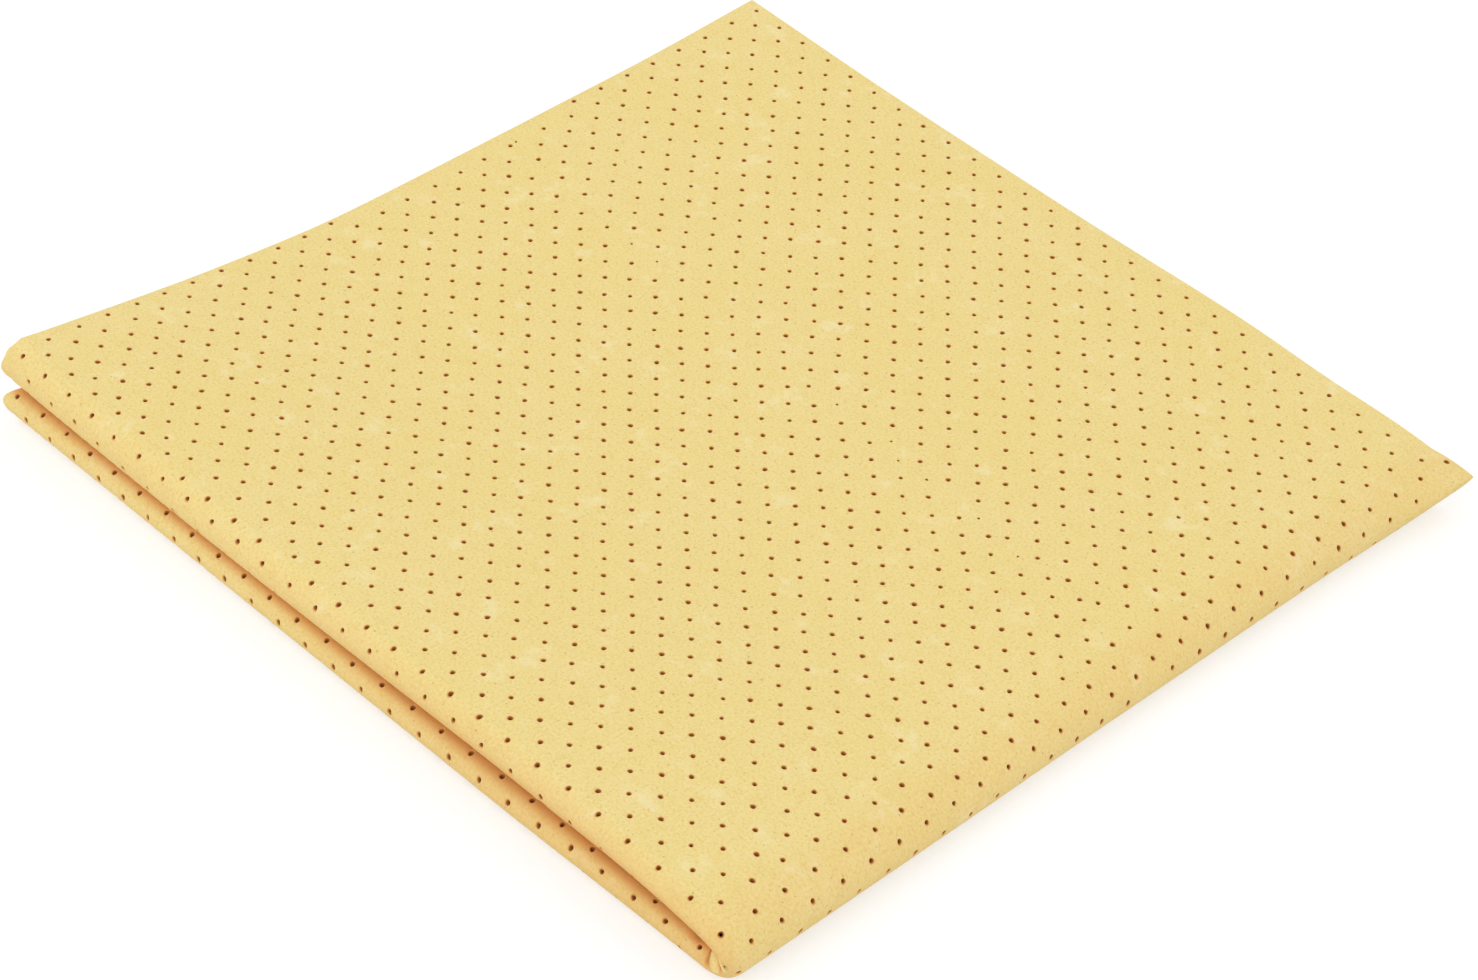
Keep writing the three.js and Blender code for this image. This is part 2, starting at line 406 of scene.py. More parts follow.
class FoldedSheet:
    """The middle surface of the folded sheet as one function of the flat sheet.

    A place on the flat sheet is (p, q) in millimetres. p runs along +X on the upper half, round the
    second fold and back along the lower half. q is the plan y of the outer plies, and falls on
    round the lips and back along the inner plies. The outer side of the sheet is the side that
    dP/dp x dP/dq points to.
    """

    def __init__(self, sizes: ClothSizes, loose: LooseShape, painted_shade: GroovePaintedShade) -> None:
        """Keep the sizes and work out where the stretches meet.

        Args:
            sizes: The folded sheet's sizes.
            loose: How the cloth strays from them.
            painted_shade: The shade painted into its colour in the grooves.
        """
        self.sizes = sizes
        self.loose = loose
        self.painted_shade = painted_shade
        self.wrap_start = sizes.fold_x
        self.wrap_end = sizes.fold_x + sizes.wrap_arc
        self.p_end = self.wrap_end + sizes.run_x
        self.lip_start = sizes.lip_y
        self.lip_end = sizes.lip_y - sizes.lip_arc
        self.q_end = self.lip_end - sizes.run_y

    def turns(self, p: Array, q: Array) -> tuple[Array, Array]:
        """Shares of the way round the second fold and round a lip, from 0 before each to 1 past it."""
        around = np.clip((p - self.wrap_start) / self.sizes.wrap_arc, 0.0, 1.0)
        return around, np.clip((self.lip_start - q) / self.sizes.lip_arc, 0.0, 1.0)

    def runs(self, x: Array, y: Array) -> tuple[Array, Array]:
        """Shares of the run from the cut edge to the fold, and from the lips to the open edge."""
        return (x - self.sizes.cut_x) / self.sizes.run_x, (y - self.sizes.lip_y) / self.sizes.run_y

    def cut_flare(self, q: Array, half: Half) -> Array:
        """How far a half's cut edge stands out past its straight line, near and round its lip.

        Args:
            q: Places along the cut edge.
            half: The upper or the lower half.

        Returns:
            The distance at each place.
        """
        loose = self.loose
        flare = loose.upper_flare if half is Half.UPPER else loose.lower_flare
        turn = np.clip((self.lip_start - q) / self.sizes.lip_arc, 0, 1)
        past = np.clip(np.maximum(q - self.lip_start, self.lip_end - q), 0, None)
        return through(flare, turn) * np.exp(-past / loose.flare_depth)

    def gathers(self, p: Array, turn: Array) -> Array:
        """Small gathers in the corner where the two folds cross.

        Args:
            p: Places along the sheet, across the second fold.
            turn: Share of the way round the lip.

        Returns:
            How far each place stands out, from -1 to 1.
        """
        loose = self.loose
        off = p - loose.pucker_place
        ripple = np.cos(2 * math.pi * off / loose.pucker_pitch) * np.exp(-((off / loose.pucker_width) ** 2))
        ripple = ripple * (1 - smoothstep(p - self.wrap_end, *loose.pucker_end))
        return ripple * smoothstep(turn, *loose.pucker_rise) * (1 - smoothstep(turn, *loose.pucker_fall))

    def painted_groove_shade(self, p: Array, q: Array) -> Array:
        """How much shade is painted on a place in the groove between the lips, from 0 in the open to 1.

        Args:
            p: Places along the sheet, across the second fold.
            q: Places along the sheet, across the first fold.

        Returns:
            The share of painted shade, which darkens and warms the cloth's colour where little light
            comes between the plies, and more than 1 in the small creases of the corner.
        """
        painted_shade = self.painted_shade
        around, turn = self.turns(p, q)
        run = np.where(around > 0.5, self.p_end - p, p - self.sizes.cut_x)
        near_fold = smoothstep(run / self.sizes.run_x, *painted_shade.near_fold)
        upper, lower = (lip.at(turn, near_fold) for lip in (painted_shade.upper, painted_shade.lower))
        past = np.clip(self.lip_end - q, 0, None)
        depth = lerp(upper, lower, smoothstep(around, *painted_shade.change)) * np.exp(-past / painted_shade.fade)
        # Painted shade along the roll of the second fold.
        rolled = smoothstep(p - self.wrap_start, *painted_shade.roll_start)
        rolled = rolled * (1 - smoothstep(p - self.wrap_end, *painted_shade.roll_end))
        depth = depth + painted_shade.roll * rolled * (1 - depth)
        # Painted shade in the corner's tuck, less over the gathers' ridges and more in their valleys.
        along = (p - self.wrap_end - painted_shade.tuck_place[0]) / painted_shade.tuck_size[0]
        across = (turn - painted_shade.tuck_place[1]) / painted_shade.tuck_size[1]
        tuck = np.exp(-(along**2) - across**2)
        return np.clip(depth - painted_shade.gathers * self.gathers(p, turn) + painted_shade.tuck * tuck, 0.0, painted_shade.most)

    def stack_top(self, x: Array, y: Array) -> Array:
        """Height of the top ply's upper face.

        Args:
            x: Plan places across the second fold.
            y: Plan places across the first fold.

        Returns:
            The height at each place.
        """
        sizes, loose = self.sizes, self.loose
        along, across = self.runs(x, y)
        lines = (sizes.lip_line, sizes.valley_line, sizes.open_line)
        lips, valley, opened = (line.at(along, sizes.fold_drop) for line in lines)
        near = lerp(lips, valley, smoothstep(across, 0.0, sizes.valley_share))
        rise = np.clip((across - sizes.valley_share) / (1 - sizes.valley_share), 0.0, None)
        far = valley + (opened - valley) * rise**sizes.rise_power
        top = np.where(across < sizes.valley_share, near, far)
        sag = loose.fold_sag.at(along) * smoothstep(across, *loose.sag_zone)
        lift = loose.far_lift.at(across) + loose.near_dip.at(across)
        first, second = (np.sin(by_x * x + by_y * y + start) for by_x, by_y, start in loose.wave_turns)
        wave = loose.wave * first * second * smoothstep(across, *loose.wave_zone)
        return top + sag + lift * np.clip(1 - along, 0, 1) ** loose.lift_power + wave

    def top_outer(self, x: Array, y: Array) -> Array:
        """Middle surface of the top ply."""
        return self.stack_top(x, y) - self.sizes.ply / 2

    def bottom_outer(self, x: Array, y: Array) -> Array:
        """Middle surface of the bottom ply, flat on the table."""
        return np.full_like(x, self.sizes.ply / 2)

    def fold_height(self, y: Array) -> Array:
        """Distance between the outer plies' middle surfaces at the second fold."""
        return self.top_outer(np.full_like(y, self.sizes.fold_x), y) - self.sizes.ply / 2

    def spacing(self, x: Array, y: Array) -> Array:
        """Distance between the two plies of one half.

        Args:
            x: Plan places across the second fold.
            y: Plan places across the first fold.

        Returns:
            The distance between their middle surfaces.
        """
        sizes = self.sizes
        along, across = self.runs(x, y)
        air = lerp(sizes.ply_air, sizes.open_air, smoothstep(across, sizes.valley_share, 1.0))
        level = lerp(self.loose.lower_lip_span, sizes.ply + air, smoothstep(across, 0.0, sizes.lip_zone))
        free = self.fold_height(y) / 2 - sizes.ply - sizes.wrap_air
        half = lerp(sizes.crossing_half, free, smoothstep(across, 0.0, sizes.crossing_zone))
        nested = self.fold_height(y) / 2 - half
        return lerp(level, nested, smoothstep(along, 1 - sizes.fold_zone, 1.0))

    def bottom_inner(self, x: Array, y: Array) -> Array:
        """Middle surface of the third ply."""
        return self.bottom_outer(x, y) + self.spacing(x, y)

    def top_inner(self, x: Array, y: Array) -> Array:
        """Middle surface of the second ply, kept clear of the third.

        Args:
            x: Plan places across the second fold.
            y: Plan places across the first fold.

        Returns:
            Its height at each place.
        """
        sizes, loose = self.sizes, self.loose
        along, across = self.runs(x, y)
        wide = through(loose.lip_span, along)
        more = (wide - loose.lower_lip_span) * (1 - smoothstep(across, 0.0, sizes.lip_zone))
        more = more * (1 - smoothstep(along, 1 - sizes.fold_zone, 1.0))
        hung = self.top_outer(x, y) - self.spacing(x, y) - more
        floor = self.bottom_inner(x, y) + sizes.ply + sizes.lip_air
        return floor + np.sqrt(np.clip(hung - floor, 0, None) ** 2 + loose.contact_ease)

    def ply_height(self, x: Array, y: Array, turn: Array, half: Half) -> Array:
        """Height of an outer ply, a lip or an inner ply.

        Args:
            x: Plan places across the second fold.
            y: Plan places across the first fold.
            turn: Share of the way round the lip, which tells the ply.
            half: The upper or the lower half.

        Returns:
            Its height at each place.
        """
        upper = half is Half.UPPER
        plies = (self.top_outer, self.top_inner) if upper else (self.bottom_outer, self.bottom_inner)
        outer, inner = (ply(x, y) for ply in plies)
        start = np.full_like(x, self.sizes.lip_y)
        lip = half_turn(*(ply(x, start) for ply in plies), turn)
        return by_turn(turn, outer, lip, inner)

    def place(self, p: Array, q: Array) -> Array:
        """Fold places of the flat sheet into space.

        Args:
            p: Places along the sheet, across the second fold.
            q: Places along the sheet, across the first fold.

        Returns:
            One row of x, y and z in millimetres for each place.
        """
        sizes, loose = self.sizes, self.loose
        around, turn = self.turns(p, q)
        inner = smoothstep(turn, 0.0, 1.0)
        run = by_turn(around, p - sizes.cut_x, sizes.run_x, self.p_end - p)
        share = run / sizes.run_x
        x = sizes.cut_x + run - sizes.inner_step * inner * (1 - share)
        x = np.where((around > 0) & (around < 1), sizes.fold_x, x)

        # Each ply's open edge lies one step behind that of the ply above it.
        steps_back = lerp(0.0, 3.0, around) + np.where(turn > 0.5, lerp(1.0, -1.0, around), 0.0)
        across = by_turn(turn, q - self.lip_start, 0.0, self.lip_end - q) / sizes.run_y
        y = sizes.lip_y + across * (sizes.run_y - steps_back * sizes.open_step)
        swell = lerp(loose.upper_swell, loose.lower_swell, smoothstep(around, *loose.swell_change))
        swell_start = loose.swell_start + loose.upper_swell_lag * (1 - around)
        side = sizes.lip_radius + swell * smoothstep(share, swell_start, 1.0)
        side = side * np.sin(math.pi * turn) + loose.pucker * self.gathers(p, turn)

        upper, lower = (self.ply_height(x, y, turn, half) for half in (Half.UPPER, Half.LOWER))
        step = 0.25
        upper_slope = (upper - self.ply_height(x - step, y, turn, Half.UPPER)) / step
        lower_slope = (lower - self.ply_height(x - step, y, turn, Half.LOWER)) / step

        front, along_fold, back_end = loose.fold_bulge
        bulge = lerp(front, along_fold, smoothstep(across, *loose.bulge_zone))
        bulge = bulge + back_end * smoothstep(across, *loose.open_bulge_zone)
        corner = lerp(sizes.wrap_mid + front, loose.corner_reach, smoothstep(turn, 0.0, 0.5))
        corner = lerp(corner, sizes.crossing_half, smoothstep(turn, 0.5, 1.0))
        free = sizes.wrap_mid - sizes.ply - sizes.wrap_air
        inner_reach = lerp(sizes.crossing_half, free, smoothstep(across, 0.0, sizes.crossing_zone))
        reach = by_turn(turn, sizes.wrap_mid + bulge, corner, inner_reach)

        # Round the fold the sheet leaves each half at that half's own slope.
        first_step = reach * math.pi
        z = half_turn(upper, lower, around)
        z = z + upper_slope * first_step * around * (1 - around) ** 3
        z = z + lower_slope * first_step * (1 - around) * around**3
        out = reach * np.sin(math.pi * around)

        tip = self.tip_share(q)
        near = 1 - np.abs(2 * around - 1)
        start = np.where(around < 0.5, upper, lower)
        z = lerp(z, start + (loose.tip_height - start) * near**2, tip)
        drawn = loose.tip_reach * lerp(np.sin(math.pi * around), near, loose.tip_sharpness)
        x = x + lerp(out, drawn, tip)
        y = y - side + loose.tip_side * tip * near**loose.tip_side_power
        return np.stack([x, y, z], 1)

    def tip_share(self, q: Array) -> Array:
        """How near the open end of the second fold a place lies, where the corner is drawn out."""
        across = (q - self.lip_start) / self.sizes.run_y
        return smoothstep(across, 1 - self.loose.tip_zone, 1.0) ** self.loose.tip_power

    def half_ply(self, p: Array, q: Array) -> Array:
        """Half the sheet's thickness, which is less where the open corner is pressed sharp.

        Args:
            p: Places along the sheet, across the second fold.
            q: Places along the sheet, across the first fold.

        Returns:
            The distance from the middle surface to each face.
        """
        around, _ = self.turns(p, q)
        pressed = self.tip_share(q) * smoothstep(1 - np.abs(2 * around - 1), *self.loose.press_zone)
        return self.sizes.ply / 2 * (1 - self.loose.tip_press * pressed)

    def strides(self, p: Array, q: Array, step: float) -> tuple[Array, Array]:
        """The ways in space from a step before each place to a step past it, along p and along q."""
        along = self.place(p + step, q) - self.place(p - step, q)
        return along, self.place(p, q + step) - self.place(p, q - step)

    def normal(self, p: Array, q: Array) -> Array:
        """Direction of the sheet's outer side at places of the flat sheet."""
        return unit(np.cross(*self.strides(p, q, step=0.03)))


@dataclass(frozen=True)
class Lattice:
    """One punched patch: how its rows and columns lie on the flat sheet, in millimetres.

    along and across say how p and q grow with the sum and with the difference of the steps both
    ways, and where they start. start is how far the steps themselves are shifted.
    """

    pitch: float
    along: Triple
    across: Triple
    start: Pair

    def centres(self, count: int) -> Array:
        """Hole centres of the patch, count steps out both ways.

        Args:
            count: Steps of the lattice to each side.

        Returns:
            One row of p and q for each hole.
        """
        steps = np.arange(-count, count + 1, dtype=float)
        first, second = np.meshgrid(steps + self.start[0], steps + self.start[1], indexing="ij")
        one, two = ((first + second) / math.sqrt(2)).ravel(), ((first - second) / math.sqrt(2)).ravel()
        return np.stack([
            self.pitch * (by_one * one + by_two * two) + start
            for by_one, by_two, start in (self.along, self.across)
        ], 1)


@dataclass(frozen=True)
class Pull:
    """How far the holes lie off the lattice in one zone of the sheet, in millimetres.

    The pull grows from none to full over each span of p and of q. A span may run downwards.
    """

    amount: float
    p_spans: tuple[Pair, ...]
    q_spans: tuple[Pair, ...]

    def at(self, p: Array, q: Array) -> Array:
        """The pull at places of the flat sheet.

        Args:
            p: Places along the sheet, across the second fold.
            q: Places along the sheet, across the first fold.

        Returns:
            Its size at each place.
        """
        size = np.full_like(p, self.amount)
        for place, spans in ((p, self.p_spans), (q, self.q_spans)):
            for span in spans:
                size = size * smoothstep(place, *span)
        return size


# Where several pulls fade in: the p or q at which each starts to act and acts fully.
UPPER_SIDE: Pair = (100.0, 86.0)
LOWER_SIDE: Pair = (100.0, 112.0)
OFF_INNER_PLIES: Pair = (-125.0, -103.0)
ROLL: tuple[Pair, Pair] = ((84.0, 93.0), (118.0, 102.0))
OFF_LIPS: Pair = (-96.0, -90.0)


@dataclass(frozen=True)
class Punching:
    """The cloth's perforation: two patches of small punched holes that meet at a slanting seam.

    Sizes are in millimetres. Holes lie within reach of the sheet's middle. The rim and the throat
    are each a ring's size against its hole, and how far it lies under the ply's face. The pulls are
    where the cloth was pulled askew at its folds.
    """

    open_side: Lattice = Lattice(5.05, (1.0036, 0.0469, 14.285), (-0.0127, 1.0091, -14.286), (0.38, 0.12))
    lip_side: Lattice = Lattice(5.05, (1.0049, -0.0118, -20.429), (0.0014, 0.9353, -41.164), (0.0, 0.0))
    steps: int = 90
    middle: Pair = (95.0, -95.0)
    reach: Pair = (215.0, 200.0)
    seam_start: float = 15.3
    seam_slope: float = -0.08
    radius: float = 0.58
    spread: float = 0.07
    spread_limits: Pair = (0.84, 1.14)
    faint_zone: float = 2.2
    faint_chance: float = 0.3
    faint_size: float = 0.55
    wider_in_groove: float = 0.16
    groove_spans: tuple[Pair, Pair] = ((96.0, 98.5), (100.0, 112.0))
    widest: float = 0.66
    longest: float = 0.16
    rim: Pair = (0.82, 0.07)
    throat: Pair = (0.57, 0.25)
    far_side: float = 0.42
    lean: Pair = (-0.09, 0.13)
    rim_rounding: float = 0.5
    wall_rounding: float = 0.3
    ragged: float = 0.05
    jitter: float = 0.12
    most_jitter: float = 0.3
    clear: float = 0.87
    gathers_clear: float = 2.4
    pressed_tip: float = 0.75
    pressed_clear: float = 4.0
    stretch_limits: Pair = (0.9, 1.6)
    seed: int = 41
    skew: Pull = Pull(-0.0106, (UPPER_SIDE,), ((-60.0, -88.0), OFF_INNER_PLIES))
    skew_middle: float = -22.0
    row_pulls: tuple[Pull, ...] = (
        Pull(0.4, ((-30.0, -90.0),), ((-90.5, -94.5), OFF_INNER_PLIES)),
        Pull(1.1, ((-30.0, -90.0),), ((-95.5, -98.0), OFF_INNER_PLIES)),
        Pull(0.65, (UPPER_SIDE,), ((-90.5, -94.5), OFF_INNER_PLIES)),
        Pull(-2.3, ((15.0, 90.0), UPPER_SIDE), ((-90.5, -94.5), OFF_INNER_PLIES)),
        Pull(2.2, ((74.0, 88.0), UPPER_SIDE), ((-94.5, -96.5), OFF_INNER_PLIES)),
        Pull(1.8, ((100.0, 190.0), LOWER_SIDE), ((-80.0, -93.0), OFF_INNER_PLIES)),
        Pull(0.7, (LOWER_SIDE,), ((-98.5, -100.9), OFF_INNER_PLIES)),
        Pull(-1.25, ROLL, (OFF_LIPS,)),
        Pull(0.8, ROLL, (OFF_LIPS, (25.0, 60.0))),
    )
    roll_pull: Pull = Pull(-1.1, (*ROLL, (89.0, 97.0)), (OFF_LIPS,))
    lower_growth: float = 0.0375
    lower_start: float = 156.0

    def holes(self) -> Array:
        """Every hole of the sheet.

        Returns:
            One row for each hole: p, q, radius, share that it is longer than wide, and its turn.
        """
        chance = np.random.default_rng(self.seed)
        found = []
        for lattice, sign in ((self.open_side, 1.0), (self.lip_side, -1.0)):
            centres = lattice.centres(self.steps)
            apart = sign * (centres[:, 1] - (self.seam_start + self.seam_slope * centres[:, 0]))
            keep = (apart > 0) & (np.abs(centres - self.middle) < self.reach).all(1)
            centres, apart = centres[keep], apart[keep]
            count = len(centres)
            size = self.radius * chance.normal(1.0, self.spread, count).clip(*self.spread_limits)
            faint = (apart < self.faint_zone) & (chance.random(count) < self.faint_chance)
            size = np.where(faint, size * self.faint_size, size)
            inwards, past_fold = self.groove_spans
            groove = smoothstep(-centres[:, 1], *inwards) * smoothstep(centres[:, 0], *past_fold)
            size = np.minimum(size * (1 + self.wider_in_groove * groove), self.widest)
            long = chance.uniform(0.0, self.longest, count)
            turned = chance.uniform(0.0, math.pi, count)
            stray = chance.normal(0.0, self.jitter, centres.shape).clip(-self.most_jitter, self.most_jitter)
            found.append(np.column_stack([centres + stray + self.drift(centres), size, long, turned]))
        return np.concatenate(found)

    def drift(self, centres: Array) -> Array:
        """How far holes lie off the lattice where the cloth was pulled askew at its folds.

        Args:
            centres: One row of p and q for each hole.

        Returns:
            One row of moves along p and q for each hole.
        """
        p, q = centres.T
        across = (p - self.skew_middle) * self.skew.at(p, q) + sum(pull.at(p, q) for pull in self.row_pulls)
        along = self.lower_growth * np.clip(p - self.lower_start, 0, None) + self.roll_pull.at(p, q)
        return np.stack([along, across], 1)


@dataclass(frozen=True)
class Grain:
    """One noise on the flat sheet: features across the sheet, finer layers and their strength."""

    scale: float
    detail: float
    roughness: float

    def build(self, tree: Tree, place: Socket) -> Socket:
        """Add the noise to a material's nodes, and give the socket of its value."""
        inputs = {"Vector": place, "Scale": self.scale, "Detail": self.detail, "Roughness": self.roughness}
        return add_node(tree, "TexNoise", inputs).outputs["Fac"]


@dataclass(frozen=True)
class Coat:
    """A coat of colour, with the values of a pattern where it starts to show and shows the most."""

    colour: Colour
    low: float
    high: float
    most: float = 1.0
    course: Course = Course.EASED

    def build(self, tree: Tree, pattern: Socket, under: Socket | Colour) -> Socket:
        """Add the coat to a material's nodes.

        Args:
            tree: The material's nodes.
            pattern: The socket that gives the pattern's value.
            under: The colour under the coat, or the socket that gives it.

        Returns:
            The socket that gives the colour with the coat on it.
        """
        spread = {"Value": pattern, "From Min": self.low, "From Max": self.high, "To Max": self.most}
        share = add_node(tree, "MapRange", spread, interpolation_type=self.course.value)
        return mix_colours(tree, share.outputs["Result"], under, self.colour)


@dataclass(frozen=True)
class ChamoisFinish:
    """Dry synthetic chamois: pale yellow, matt, finely pebbled, with painted shade in its holes and
    grooves.
    """

    name: str = "synthetic_chamois"
    base: Colour = (0.905, 0.719, 0.277, 1.0)
    pale: Colour = (0.943, 0.805, 0.420, 1.0)
    deep: Colour = (0.805, 0.565, 0.158, 1.0)
    # groove and crease are painted shade: between the plies, and darker in the corner's tucks.
    groove: Colour = (0.800, 0.390, 0.110, 1.0)
    crease: Colour = (0.520, 0.200, 0.050, 1.0)
    speck: Colour = (0.420, 0.340, 0.120, 1.0)
    # rim and hole are painted shade in the punched holes, warmed orange as by light through the thin cloth.
    rim: Colour = (0.830, 0.410, 0.120, 1.0)
    hole: Colour = (0.430, 0.172, 0.040, 1.0)
    edge: Colour = (0.800, 0.670, 0.380, 1.0)
    cloud: Grain = Grain(14.0, 3.0, 0.55)
    mottle: Grain = Grain(120.0, 4.0, 0.6)
    pebble: Grain = Grain(780.0, 5.0, 0.75)
    speckle: Grain = Grain(640.0, 1.0, 0.5)
    scuff: Grain = Grain(46.0, 6.0, 0.75)
    roughness: float = 0.86
    gloss: float = 0.25
    sheen: float = 0.05
    sheen_roughness: float = 0.5
    sheen_tint: Colour = (1.0, 0.93, 0.75, 1.0)
    relief: float = 0.8
    pebble_height: float = 0.00018
    mottle_height: float = 0.00025

    def build(self) -> bpy.types.Material:
        """Make the node material.

        Returns:
            The material, which reads the sheet's own UV map, its edge attribute, and the groove and
            hole attributes by which it paints shade.
        """
        material = bpy.data.materials.new(self.name)
        tree = empty_tree(material)
        place = add_node(tree, "UVMap", {}, uv_map=SheetMesh.UV_NAME).outputs["UV"]
        cloud, mottle, pebble, speckle, scuff = (
            grain.build(tree, place)
            for grain in (self.cloud, self.mottle, self.pebble, self.speckle, self.scuff)
        )
        groove, edge, hole = (
            add_node(tree, "Attribute", {}, attribute_name=name).outputs["Fac"]
            for name in (SheetMesh.GROOVE_SHADE_NAME, SheetMesh.EDGE_NAME, SheetMesh.HOLE_NAME)
        )
        coats = (
            (cloud, Coat(self.pale, 0.3, 0.75, 0.2)),
            (mottle, Coat(self.deep, 0.45, 0.75, 0.25)),
            (pebble, Coat(self.deep, 0.48, 0.68, 0.8)),
            (pebble, Coat(self.pale, 0.52, 0.32, 0.65)),
            (scuff, Coat(self.pale, 0.54, 0.68, 0.8)),
            (speckle, Coat(self.speck, 0.7, 0.77, 0.6)),
            # Painted shade between the plies, darker still in the corner's tucks.
            (groove, Coat(self.groove, 0.0, 1.0, course=Course.EVEN)),
            (groove, Coat(self.crease, 1.0, GroovePaintedShade.most, course=Course.EVEN)),
            (edge, Coat(self.edge, 0.0, 1.0, course=Course.EVEN)),
            # Painted shade in each hole: a warm orange rim, then dark brown deeper in.
            (hole, Coat(self.rim, 0.0, 0.5)),
            (hole, Coat(self.hole, 0.5, 1.0)),
        )
        colour = self.base
        for pattern, coat in coats:
            colour = coat.build(tree, pattern, colour)

        relief = {"Strength": self.relief, "Distance": self.pebble_height, "Height": pebble}
        fine = add_node(tree, "Bump", relief).outputs["Normal"]
        relief.update({"Distance": self.mottle_height, "Height": mottle, "Normal": fine})
        shader = add_node(tree, "BsdfPrincipled", {
            "Base Color": colour,
            "Roughness": self.roughness,
            "Specular IOR Level": self.gloss,
            "Sheen Weight": self.sheen,
            "Sheen Roughness": self.sheen_roughness,
            "Sheen Tint": self.sheen_tint,
            "Normal": add_node(tree, "Bump", relief).outputs["Normal"],
        })
        add_node(tree, "OutputMaterial", {"Surface": shader.outputs["BSDF"]})
        return material


class SheetMesh:
    """Collects one stretch's vertices, faces, face normals, sheet places and hole depths."""

    UV_NAME = "flat_sheet"
    HOLE_NAME = "hole_depth"
    EDGE_NAME = "cut_edge"
    GROOVE_SHADE_NAME = "painted_groove_shade"
    UV_START = (105.0, 295.0)
    UV_SIDE = 400.0

    def __init__(self, sheet: FoldedSheet) -> None:
        """Start empty.

        Args:
            sheet: The folded sheet that the stretch is part of.
        """
        self.sheet = sheet
        self.points: list[Array] = []
        self.flat: list[Array] = []
        self.depth: list[Array] = []
        self.count = 0
        self.faces: list[Array] = []
        self.normals: list[Array] = []
        self.cut: list[Array] = []

    def add_points(self, points: Array, flat: Array, depth: float) -> Array:
        """Add vertices.

        Args:
            points: Places in space, in millimetres.
            flat: Places on the flat sheet, in millimetres.
            depth: How far inside a hole they lie, from 0 to 1.

        Returns:
            The vertices' numbers.
        """
        numbers = np.arange(self.count, self.count + len(points))
        self.points.append(points)
        self.flat.append(flat)
        self.depth.append(np.full(len(points), depth))
        self.count += len(points)
        return numbers

    def add_faces(self, corners: Array, normals: Array, cut: float = 0.0) -> None:
        """Add faces with a normal for each corner.

        Args:
            corners: One row of vertex numbers for each face.
            normals: A normal for each corner, in rows as corners has them.
            cut: How far the faces are the sheet's cut edge, from 0 to 1.
        """
        self.faces.append(corners)
        self.normals.append(normals)
        self.cut.append(np.full(corners.size, cut))

    def build(self, name: str) -> bpy.types.Object:
        """Make the object.

        Args:
            name: The piece's name.

        Returns:
            The object, linked to the scene.
        """
        mesh = bpy.data.meshes.new(name)
        points = np.concatenate(self.points) * MM
        corners = np.concatenate([f.ravel() for f in self.faces])
        totals = np.concatenate([np.full(len(f), f.shape[1]) for f in self.faces])
        mesh.vertices.add(len(points))
        mesh.vertices.foreach_set("co", points.ravel())
        mesh.loops.add(len(corners))
        mesh.loops.foreach_set("vertex_index", corners)
        mesh.polygons.add(len(totals))
        mesh.polygons.foreach_set("loop_start", np.concatenate([[0], np.cumsum(totals)[:-1]]))
        mesh.polygons.foreach_set("loop_total", totals)
        mesh.update(calc_edges=True)
        flat = np.concatenate(self.flat)
        on_map = (flat + self.UV_START) / self.UV_SIDE
        mesh.uv_layers.new(name=self.UV_NAME).uv.foreach_set("vector", on_map[corners].ravel())
        for attribute, domain, values in (
            (self.HOLE_NAME, "POINT", np.concatenate(self.depth)),
            (self.GROOVE_SHADE_NAME, "POINT", self.sheet.painted_groove_shade(*flat.T)),
            (self.EDGE_NAME, "CORNER", np.concatenate(self.cut)),
        ):
            mesh.attributes.new(attribute, "FLOAT", domain).data.foreach_set("value", values)
        mesh.shade_smooth()
        mesh.normals_split_custom_set(np.concatenate([n.reshape(-1, 3) for n in self.normals]).tolist())
        return add_object(name, mesh)


